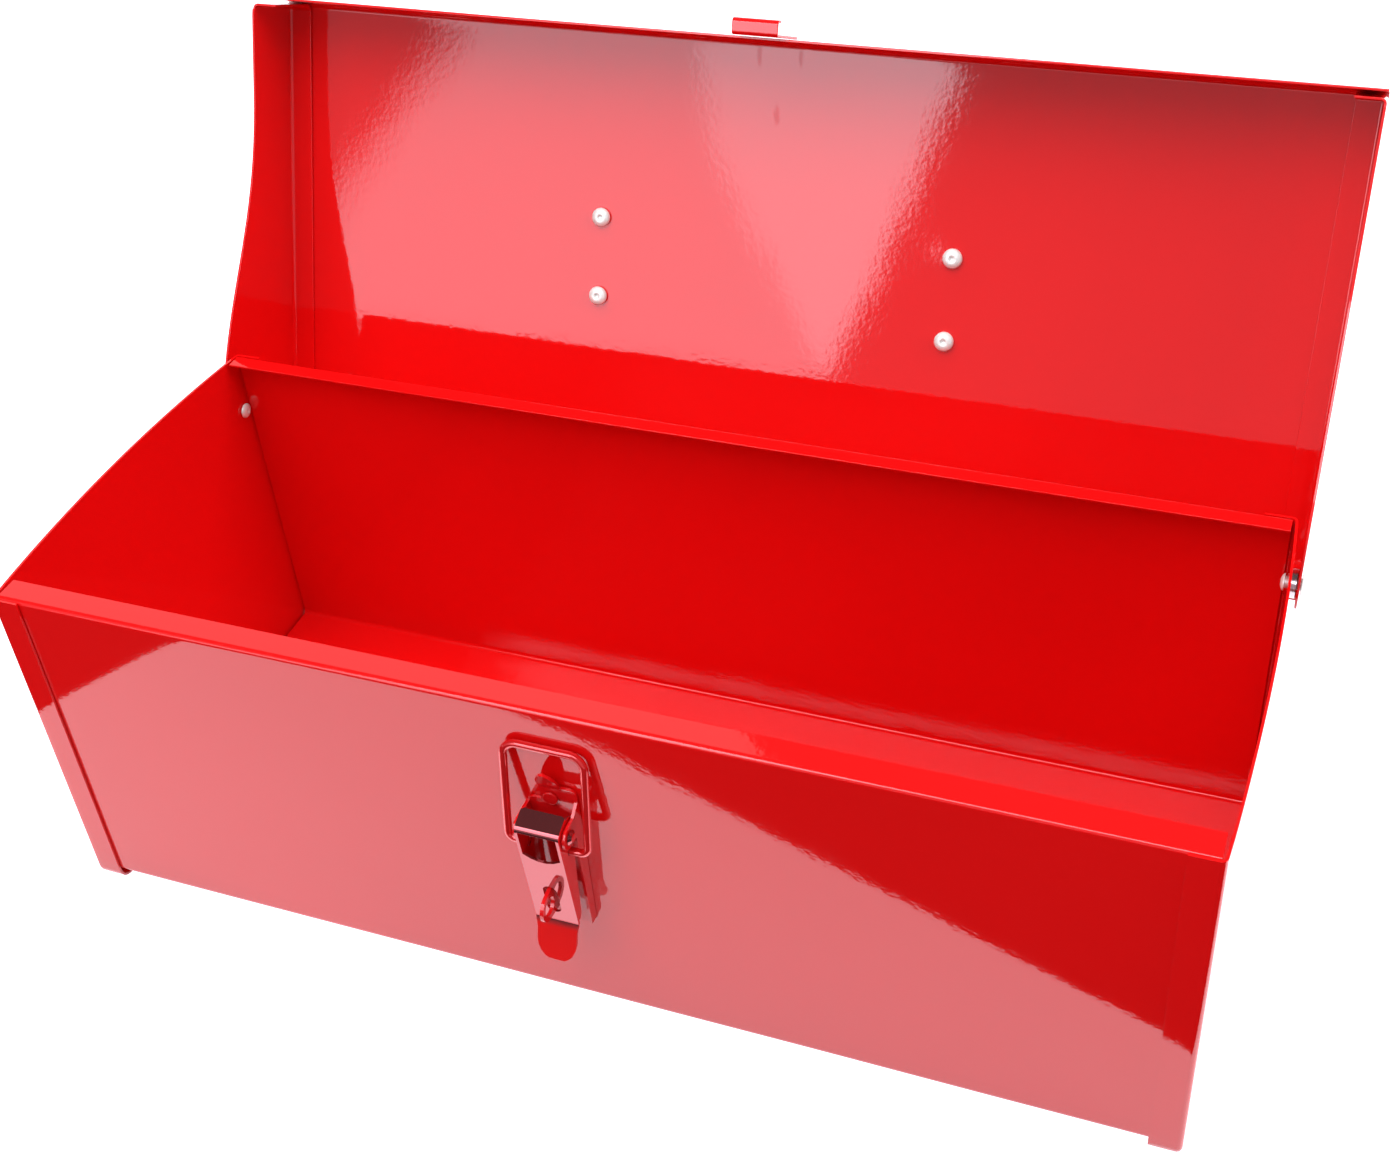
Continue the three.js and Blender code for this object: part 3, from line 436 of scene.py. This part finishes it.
def pressed_pan(path, outwards, wall_edge, flange_x, wall_x, bend, bow=0.0):
    """One surface: a flange along the path, a round bend, and a wall that bows out a little.
    wall_edge closes the wall from the path's last point back to its first."""
    shape = bmesh.new()
    side, steps = math.copysign(1, wall_x), 6
    straight = [flange_x + (wall_x - side * bend - flange_x) * step / 3 for step in range(4)]
    rings = [[shape.verts.new((x, *point)) for point in path] for x in straight]
    for step in range(1, steps + 1):
        angle = math.pi / 2 * step / steps
        x = wall_x - side * bend * (1 - math.sin(angle))
        inset = bend * (1 - math.cos(angle))
        rings.append([shape.verts.new((x, *(point - outward * inset)))
                      for point, outward in zip(path, outwards)])
    for ring, following in zip(rings, rings[1:]):
        for index in range(len(path) - 1):
            shape.faces.new((ring[index], ring[index + 1], following[index + 1], following[index]))
    rest = [shape.verts.new((wall_x, *point)) for point in wall_edge]
    wall = shape.faces.new(rings[-1] + rest)
    if bow:
        bowed(shape, wall, side, bow)
    bmesh.ops.recalc_face_normals(shape, faces=shape.faces)
    return shape


def path_outwards(path, middle):
    """The direction out of the pan at each point of its outline."""
    directions = []
    for index in range(len(path)):
        along = path[min(index + 1, len(path) - 1)] - path[max(index - 1, 0)]
        outward = Vector((along.y, -along.x)).normalized()
        directions.append(outward if outward.dot(path[index] - middle) > 0 else -outward)
    return directions


def body_cap(side, name):
    low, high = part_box(f"body_end_{name}")
    flange_width, corner_bend = 12.7 * MM, 6.5 * MM
    outer_x = low.x if side < 0 else high.x
    wall_x = outer_x - side * half
    flange_x = outer_x - side * flange_width
    shoulder = wrapper_high.z - 0.4 * MM
    crown = high.z - shoulder
    path = folded_path([
        (low.y + half, shoulder, 0), (low.y + half, low.z + half, corner_bend),
        (high.y - half, low.z + half, corner_bend), (high.y - half, shoulder, 0)])
    bend = 2 * MM
    top = []
    arch_steps = 24
    for step in range(arch_steps + 1):
        across = 1 - 2 * step / arch_steps
        y = (low.y + high.y) / 2 + across * (high.y - low.y - 2 * bend - 2 * MM) / 2
        top.append(Vector((y, shoulder + crown * (1 - across * across))))
    middle = Vector(((low.y + high.y) / 2, (low.z + high.z) / 2))
    shape = pressed_pan(path, path_outwards(path, middle), top, flange_x, wall_x, bend, bow=2.8 * MM)
    cap = finished(placed(f"body_cap_{name}", shape, red_enamel), sheet)
    fitted(cap, "body", f"body_end_{name}")


both_sides = ((-1, "left"), (1, "right"))
for side, name in both_sides:
    body_cap(side, name)


# ---- Lid sheet -------------------------------------------------------------------------------
# One steel sheet folded into a flat roof and two skirts, and spot-welded over its end caps. The
# front skirt flares to clear the body. The handle's rivets have drawn small hollows into the roof.
joints = {joint["name"]: joint for joint in frame["joints"]}
hinge = Vector(joints["lid_hinge"]["pos_m"])
open_angle = math.radians(joints["lid_hinge"]["range_deg"][1])
swing_open = (Matrix.Translation(hinge) @ Matrix.Rotation(-open_angle, 4, "X")
              @ Matrix.Translation(-hinge))
swing_shut = swing_open.inverted()


def shut_box(node):
    """The corners of a lid node's box with the lid shut."""
    places = [swing_shut @ vert.co for vert in frame["nodes"][node].data.vertices]
    return (Vector(map(min, zip(*places))), Vector(map(max, zip(*places))))


lid_low, lid_high = shut_box("lid_sheet")
lid_flare, lid_overlap, lid_bend = 2 * MM, 7.2 * MM, 3.5 * MM
lid_lip = wrapper_high.z - lid_overlap
lid_path = folded_path([
    (lid_low.y + half, lid_lip, 0),
    (lid_low.y + half + lid_flare, lid_high.z - half, lid_bend),
    (lid_high.y - half, lid_high.z - half, lid_bend),
    (lid_high.y - half, lid_low.z, 0),
], longest=4 * MM)
rivet_rows = {}
for corner in ("left_front", "left_rear", "right_front", "right_rear"):
    low, high = shut_box(f"handle_rivet_{corner}")
    rivet_rows[corner] = Vector(((low.x + high.x) / 2, (low.y + high.y) / 2, lid_high.z - half))
roof_dents = [
    (rivet_rows["right_front"], 8 * MM, 0.2 * MM),
    (rivet_rows["right_rear"], 7 * MM, 0.16 * MM),
    (rivet_rows["right_front"] + Vector((4, 7, 0)) * MM, 5 * MM, 0.14 * MM),
    (rivet_rows["left_front"], 7 * MM, 0.06 * MM),
    (rivet_rows["left_rear"], 7 * MM, 0.08 * MM),
    (Vector((0.5 * MM, lid_low.y + 33 * MM, lid_high.z - half)), 3.2 * MM, 0.25 * MM),
    (Vector((-10 * MM, lid_low.y + 8.5 * MM, lid_high.z - half)), 1.8 * MM, 0.3 * MM),
    (Vector((9 * MM, lid_low.y + 9 * MM, lid_high.z - half)), 2.0 * MM, 0.3 * MM),
]
lid_shape = folded_sheet(
    lid_path,
    stations(lid_low.x, lid_high.x, 4 * MM, -14 * MM, 14 * MM, 0.8 * MM),
    (0.16 * MM, 110 * MM), roof_dents)
bmesh.ops.reverse_faces(lid_shape, faces=lid_shape.faces)
lid_shape.transform(swing_open)
lid_sheet = finished(placed("lid_cover", lid_shape, red_enamel), sheet)
fitted(lid_sheet, "lid", "lid_sheet")


# ---- Lid end caps ----------------------------------------------------------------------------
# Steel pans like the body's, spot-welded with their flange under the lid sheet. The free edge
# runs level from the front, then sweeps down to a round boss at the hinge.
def bezier(points, steps):
    curve = []
    for step in range(steps + 1):
        t = step / steps
        weights = ((1 - t) ** 3, 3 * t * (1 - t) ** 2, 3 * t * t * (1 - t), t ** 3)
        weighted = (Vector(point) * weight for point, weight in zip(points, weights))
        curve.append(sum(weighted, Vector((0, 0))))
    return curve


def lid_cap(side, name):
    low, high = shut_box(f"lid_end_{name}")
    flange_width = 12 * MM
    outer_x = low.x if side < 0 else high.x
    wall_x = outer_x - side * half
    flange_x = outer_x - side * flange_width
    front, rear, top = low.y + half, high.y - half, high.z - half
    path = folded_path([(front, lid_lip + 1 * MM, 0), (front, top, lid_bend), (rear, top, lid_bend),
                        (rear, lid_low.z, 0)], longest=5 * MM)
    middle = Vector(((front + rear) / 2, (top + lid_lip) / 2))
    boss = 10 * MM
    body_half_depth = (body_high.y - body_low.y) / 2
    body_middle = (body_high.y + body_low.y) / 2
    edge = [Vector((rear, lid_low.z - 4 * MM)), Vector((rear, hinge.z - 1 * MM))]
    for step in range(9):
        angle = math.radians(-12) - math.radians(78) * step / 8
        edge.append(Vector((hinge.y + boss * math.cos(angle), hinge.z + boss * math.sin(angle))))
    sweep = bezier([(hinge.y, hinge.z - boss),
                    (body_middle + 0.32 * body_half_depth, hinge.z - boss + 4 * MM),
                    (body_middle + 0.05 * body_half_depth, lid_lip + 1 * MM),
                    (body_middle - 0.64 * body_half_depth, lid_lip)], 22)
    edge += sweep[1:]
    edge.append(Vector((front + 5 * MM, lid_lip)))
    edge.append(Vector((front + 2.2 * MM, lid_lip + 0.3 * MM)))
    shape = pressed_pan(path, path_outwards(path, middle), edge, flange_x, wall_x, 2 * MM)
    shape.transform(swing_open)
    cap = finished(placed(f"lid_cap_{name}", shape, red_enamel), sheet)
    fitted(cap, "lid", f"lid_end_{name}")


for side, name in both_sides:
    lid_cap(side, name)


# ---- Hinges ----------------------------------------------------------------------------------
# An aluminium rivet at each end, through the body's cap, a plated steel washer and the lid's
# cap. The set head inside the body is a small dome with its mandrel's stub sunk in it.
def metal(name, colour, roughness, metallic=1.0):
    """A bare or plated metal whose colour and polish vary with a fine grain."""
    grain_size, scratch = 900.0, 0.08
    material = bpy.data.materials.new(name)
    material.use_nodes = True
    nodes, links = material.node_tree.nodes, material.node_tree.links
    shader = nodes["Principled BSDF"]
    shader.inputs["Metallic"].default_value = metallic
    place = nodes.new("ShaderNodeTexCoord")
    grain = nodes.new("ShaderNodeTexNoise")
    grain.inputs["Scale"].default_value = grain_size
    grain.inputs["Detail"].default_value = 3
    links.new(place.outputs["Object"], grain.inputs["Vector"])
    tone = nodes.new("ShaderNodeMix")
    tone.data_type = "RGBA"
    tone.inputs["A"].default_value = (*[channel * 0.82 for channel in colour], 1)
    tone.inputs["B"].default_value = (*colour, 1)
    links.new(grain.outputs["Fac"], tone.inputs["Factor"])
    links.new(tone.outputs["Result"], shader.inputs["Base Color"])
    polish = nodes.new("ShaderNodeMapRange")
    polish.inputs["To Min"].default_value = roughness - scratch
    polish.inputs["To Max"].default_value = roughness + scratch
    links.new(grain.outputs["Fac"], polish.inputs["Value"])
    links.new(polish.outputs["Result"], shader.inputs["Roughness"])
    relief = nodes.new("ShaderNodeBump")
    relief.inputs["Distance"].default_value = 0.02 * MM
    links.new(grain.outputs["Fac"], relief.inputs["Height"])
    links.new(relief.outputs["Normal"], shader.inputs["Normal"])
    return material


rivet_aluminium = metal("rivet_aluminium", (0.93, 0.95, 0.93), 0.36, metallic=0.3)
plated_steel = metal("plated_steel", (0.74, 0.75, 0.77), 0.24)


def turned(profile, direction, centre, sides=40):
    """A closed solid of revolution. The profile's points are (distance along the axis, radius)."""
    shape = bmesh.new()
    rings = []
    for along, radius in profile:
        if radius == 0:
            rings.append([shape.verts.new((0, 0, along))])
            continue
        rings.append([shape.verts.new((radius * math.cos(math.tau * step / sides),
                                       radius * math.sin(math.tau * step / sides), along))
                      for step in range(sides)])
    pairs = list(zip(rings, rings[1:]))
    if len(rings[0]) > 1:
        pairs.append((rings[-1], rings[0]))
    for ring, following in pairs:
        for step in range(sides):
            ends = (step, (step + 1) % sides)
            near = [ring[end % len(ring)] for end in ends]
            far = [following[end % len(following)] for end in ends]
            face = list(dict.fromkeys((near[0], near[1], far[1], far[0])))
            if len(face) > 2:
                shape.faces.new(face)
    bmesh.ops.recalc_face_normals(shape, faces=shape.faces)
    turn = Vector((0, 0, 1)).rotation_difference(Vector(direction)).to_matrix().to_4x4()
    shape.transform(Matrix.Translation(centre) @ turn)
    return shape


def dome(face, radius, height, steps=6):
    """Profile points of a low dome that stands on a face."""
    return [(face + height * math.sin(math.pi / 2 * step / steps),
             radius * math.cos(math.pi / 2 * step / steps)) for step in range(steps)]


join_gap = 0.3 * MM
hinge_line = Vector((0, hinge.y, hinge.z))
for side, name in both_sides:
    low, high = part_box(f"hinge_rivet_{name}")
    inner_x, outer_x = sorted((abs(low.x), abs(high.x)))
    body_face = abs(body_high.x) - sheet - join_gap
    lid_face = lid_high.x + join_gap
    set_head, made_head, shank = 3.6 * MM, 4.5 * MM, 2.5 * MM
    stub_x, stub, stub_mouth = inner_x + 0.5 * MM, 0.8 * MM, 1.1 * MM
    profile = [(stub_x, 0), (stub_x, stub), (inner_x, stub_mouth)]
    profile += dome(body_face, set_head, inner_x - body_face)[::-1][1:]
    profile += [(body_face, shank), (lid_face, shank)]
    profile += dome(lid_face, made_head, outer_x - lid_face) + [(outer_x, 0)]
    profile = [(side * along, radius) for along, radius in profile]
    shape = turned(profile, (1, 0, 0), hinge_line)
    rivet = finished(placed(f"hinge_pin_{name}", shape, rivet_aluminium), edge=0.08 * MM)
    fitted(rivet, "body", f"hinge_rivet_{name}")
    low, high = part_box(f"hinge_washer_{name}")
    rim, hole = (high.z - low.z) / 2, shank + join_gap
    shape = turned([(low.x, hole), (low.x, rim), (high.x, rim), (high.x, hole)], (1, 0, 0), hinge_line)
    washer = finished(placed(f"hinge_spacer_{name}", shape, plated_steel), edge=0.35 * MM, segments=3)
    fitted(washer, "body", f"hinge_washer_{name}")


# ---- Latch -----------------------------------------------------------------------------------
# A draw latch pressed from 1.2 mm steel, riveted to the body's front and sprayed with the box: a
# base channel, an over-centre lever on a pin, and a wire bail. The thin coat lets the steel glint.
latch_enamel = enamel("latch_enamel", (0.74, 0.006, 0.008), (0.62, 0.004, 0.006),
                      {"Peel Size": 600.0, "Peel Depth": 0.01, "Sag Size": 120.0, "Sag Depth": 0.05,
                       "Gloss": 0.06}, ior=1.6)
wire_enamel = enamel("wire_enamel", (0.74, 0.012, 0.014), (0.62, 0.008, 0.01),
                     {"Peel Size": 600.0, "Peel Depth": 0.008, "Sag Size": 120.0, "Sag Depth": 0.03,
                      "Gloss": 0.05}, ior=1.8, metallic=0.4, coat=0.6)
thin_enamel = enamel("thin_enamel", (0.46, 0.1, 0.11), (0.36, 0.05, 0.055),
                     {"Peel Size": 600.0, "Peel Depth": 0.006, "Sag Size": 120.0, "Sag Depth": 0.03,
                      "Gloss": 0.05}, ior=1.8, metallic=0.9, coat=0.5)
# The coat has run down and gathered on the finger tab, where it hides the steel.
lever_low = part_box("latch_lever")[0]
thin_tree = thin_enamel.node_tree
thin_shader = thin_tree.nodes["Principled BSDF"]
lever_place = thin_tree.nodes.new("ShaderNodeTexCoord")
lever_height = thin_tree.nodes.new("ShaderNodeSeparateXYZ")
thin_tree.links.new(lever_place.outputs["Object"], lever_height.inputs["Vector"])
gathered = thin_tree.nodes.new("ShaderNodeMapRange")
gathered.interpolation_type = "SMOOTHSTEP"
gathered.inputs["From Min"].default_value = lever_low.z + 18.5 * MM
gathered.inputs["From Max"].default_value = lever_low.z + 14 * MM
thin_tree.links.new(lever_height.outputs["Z"], gathered.inputs["Value"])
thin_colour = thin_shader.inputs["Base Color"].links[0].from_socket
coat_colour = thin_tree.nodes.new("ShaderNodeMix")
coat_colour.data_type = "RGBA"
coat_colour.inputs["B"].default_value = (0.78, 0.008, 0.008, 1)
thin_tree.links.new(gathered.outputs["Result"], coat_colour.inputs["Factor"])
thin_tree.links.new(thin_colour, coat_colour.inputs["A"])
thin_tree.links.new(coat_colour.outputs["Result"], thin_shader.inputs["Base Color"])
bare = thin_tree.nodes.new("ShaderNodeMapRange")
bare.inputs["To Min"].default_value = 0.9
bare.inputs["To Max"].default_value = 0.05
thin_tree.links.new(gathered.outputs["Result"], bare.inputs["Value"])
thin_tree.links.new(bare.outputs["Result"], thin_shader.inputs["Metallic"])


def softened(node, name, material, edge):
    """The node's own shape with its flats made whole and every edge rounded as pressing does."""
    shape = bmesh.new()
    shape.from_mesh(frame["nodes"][node].data)
    bmesh.ops.remove_doubles(shape, verts=shape.verts, dist=0.001 * MM)
    bmesh.ops.dissolve_limit(shape, angle_limit=math.radians(0.6), verts=shape.verts,
                             edges=shape.edges)
    return finished(placed(name, shape, material), edge=edge, edge_angle=32, segments=3)


for node, name, body, coat, edge in (
    ("latch_base", "latch_channel", "body", latch_enamel, 0.22 * MM),
    ("latch_rivet_lower", "latch_rivet_low", "body", latch_enamel, 0.25 * MM),
    ("latch_rivet_upper", "latch_rivet_high", "body", latch_enamel, 0.25 * MM),
    ("latch_lever", "latch_handle", "latch_lever", thin_enamel, 0.25 * MM),
    ("latch_pin", "latch_hinge_pin", "body", thin_enamel, 0.3 * MM),
    ("lid_strike", "lid_catch", "lid", red_enamel, 0.25 * MM),
):
    piece = softened(node, name, coat, edge)
    if coat is thin_enamel:
        piece.data.materials.append(latch_enamel)
        for face in piece.data.polygons:
            face.material_index = int(abs(face.normal.x) > 0.8)
    fitted(piece, body, node)


def bent_rod(corners, radius, sides=20):
    """A solid round rod through the corners, each of them a point and its bend radius."""
    line, steps = [corners[0][0]], 10
    for (before, _), (corner, bend), (after, _) in zip(corners, corners[1:], corners[2:]):
        back, ahead = (before - corner).normalized(), (after - corner).normalized()
        half_angle = back.angle(ahead) / 2
        centre = corner + (back + ahead).normalized() * bend / math.sin(half_angle)
        start = corner + back * bend / math.tan(half_angle) - centre
        axis = back.cross(ahead).normalized()
        for step in range(steps + 1):
            angle = (2 * half_angle - math.pi) * step / steps
            line.append(centre + Matrix.Rotation(angle, 3, axis) @ start)
    line.append(corners[-1][0])
    flat = (corners[1][0] - corners[0][0]).cross(corners[2][0] - corners[1][0]).normalized()
    shape = bmesh.new()
    rings = []
    for index, point in enumerate(line):
        along = (line[min(index + 1, len(line) - 1)] - line[max(index - 1, 0)]).normalized()
        across = flat.cross(along).normalized()
        rings.append([shape.verts.new(point + radius * (across * math.cos(math.tau * step / sides)
                                                        + flat * math.sin(math.tau * step / sides)))
                      for step in range(sides)])
    for ring, following in zip(rings, rings[1:]):
        for step in range(sides):
            after = (step + 1) % sides
            shape.faces.new((ring[step], ring[after], following[after], following[step]))
    shape.faces.new(rings[0])
    shape.faces.new(rings[-1])
    bmesh.ops.recalc_face_normals(shape, faces=shape.faces)
    return shape


bail_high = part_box("latch_bail")[1]
wire = 1.6 * MM
bail_foot = Vector(joints["latch_bail_swing"]["pos_m"])
bail_top = Vector((0, bail_high.y - wire, bail_high.z - wire))
bail_half = bail_high.x - wire
lever_flange_inside = 7.85 * MM
foot_bend, top_bend = 3.2 * MM, 6 * MM
bail_corners = [(Vector((-lever_flange_inside, bail_foot.y, bail_foot.z)), 0),
                (Vector((-bail_half, bail_foot.y, bail_foot.z)), foot_bend),
                (Vector((-bail_half, bail_top.y, bail_top.z)), top_bend),
                (Vector((bail_half, bail_top.y, bail_top.z)), top_bend),
                (Vector((bail_half, bail_foot.y, bail_foot.z)), foot_bend),
                (Vector((lever_flange_inside, bail_foot.y, bail_foot.z)), 0)]
bail = finished(placed("latch_wire", bent_rod(bail_corners, wire), wire_enamel), edge=0.2 * MM,
                edge_angle=60)
fitted(bail, "latch_bail", "latch_bail")


# ---- Carrying handle -------------------------------------------------------------------------
# A plated steel rod with turned-out ends swings in two straps that aluminium blind rivets hold to
# the roof. It carries a black moulded grip, and hangs straight down behind when the lid is open.
for side in ("left", "right"):
    strap = softened(f"handle_bracket_{side}", f"handle_strap_{side}", plated_steel, 0.25 * MM)
    fitted(strap, "lid", f"handle_bracket_{side}")

rod_low, rod_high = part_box("handle_rod")
rod_radius, end_bend, arm_bend = 3.5 * MM, 5 * MM, 16 * MM
pivot = Vector(joints["handle_fold"]["pos_m"])
grip_low, grip_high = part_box("handle_grip")
grip_z = (grip_low.z + grip_high.z) / 2
rod_inner = 69.1 * MM
rod_corners = [(Vector((rod_low.x, pivot.y, pivot.z)), 0),
               (Vector((-rod_inner, pivot.y, pivot.z)), end_bend),
               (Vector((-rod_inner, pivot.y, grip_z)), arm_bend),
               (Vector((rod_inner, pivot.y, grip_z)), arm_bend),
               (Vector((rod_inner, pivot.y, pivot.z)), end_bend),
               (Vector((rod_high.x, pivot.y, pivot.z)), 0)]
rod = finished(placed("handle_bar", bent_rod(rod_corners, rod_radius, 28), plated_steel),
               edge=0.5 * MM, edge_angle=60, segments=3)
fitted(rod, "handle", "handle_rod")

black_grip = enamel("black_grip", (0.02, 0.02, 0.022), (0.012, 0.012, 0.013),
                    {"Peel Size": 1400.0, "Peel Depth": 0.05, "Sag Size": 60.0, "Sag Depth": 0.02,
                     "Gloss": 0.42}, ior=1.45)
grip_half = grip_high.x
grip_radius = (grip_high.z - grip_low.z) / 2
bore = rod_radius + join_gap
end_radius = grip_radius - 2.5 * MM
round_end = [(1.2 * MM * (1 - math.cos(angle)), end_radius + 2.0 * MM * math.sin(angle))
             for angle in (math.radians(20 * step) for step in range(1, 5))]
ribs, rib_points, ribs_from_end = 15, 8, 4 * MM
rib_depth, barrel = 0.45 * MM, 0.27 * MM
grip_profile = [(-grip_half, bore), (-grip_half, end_radius)]
grip_profile += [(-grip_half + along, radius) for along, radius in round_end]
for step in range(ribs * rib_points + 1):
    along = -grip_half + ribs_from_end + 2 * (grip_half - ribs_from_end) * step / (ribs * rib_points)
    groove = rib_depth * (0.5 - 0.5 * math.cos(math.tau * step / rib_points)) ** 2
    grip_profile.append((along, grip_radius - groove - barrel * (along / grip_half) ** 2))
grip_profile += [(grip_half - along, radius) for along, radius in reversed(round_end)]
grip_profile += [(grip_half, end_radius), (grip_half, bore)]
grip_shape = turned(grip_profile, (1, 0, 0), Vector((0, pivot.y, grip_z)), 48)
grip = finished(placed("handle_sleeve", grip_shape, black_grip), edge=0.15 * MM, edge_angle=60)
fitted(grip, "handle", "handle_grip")

strap_thickness = 1.5 * MM
tail, head, shank = 4.3 * MM, 4.6 * MM, 2.4 * MM
# The drawn tail from its middle outwards: millimetres above its lowest point, and radius.
drawn_tail = ((0.9, 0), (0.9, 0.9), (0.15, 1.15), (0, 1.6), (0.15, 2.7), (0.7, 3.8))
for corner in rivet_rows:
    low, high = shut_box(f"handle_rivet_{corner}")
    centre = Vector(((low.x + high.x) / 2, (low.y + high.y) / 2, 0))
    roof_under = lid_high.z - sheet - join_gap
    strap_top = lid_high.z + join_gap + strap_thickness + join_gap
    profile = [(low.z + rise * MM, radius * MM) for rise, radius in drawn_tail]
    profile += [(low.z + 1.3 * MM, tail), (roof_under - 0.3 * MM, tail),
                (roof_under, tail - 0.4 * MM), (roof_under, shank), (strap_top, shank)]
    profile += dome(strap_top, head, high.z - strap_top) + [(high.z, 0)]
    shape = turned(profile, (0, 0, 1), centre)
    shape.transform(swing_open)
    rivet = finished(placed(f"handle_pop_rivet_{corner}", shape, rivet_aluminium), edge=0.08 * MM)
    fitted(rivet, "lid", f"handle_rivet_{corner}")
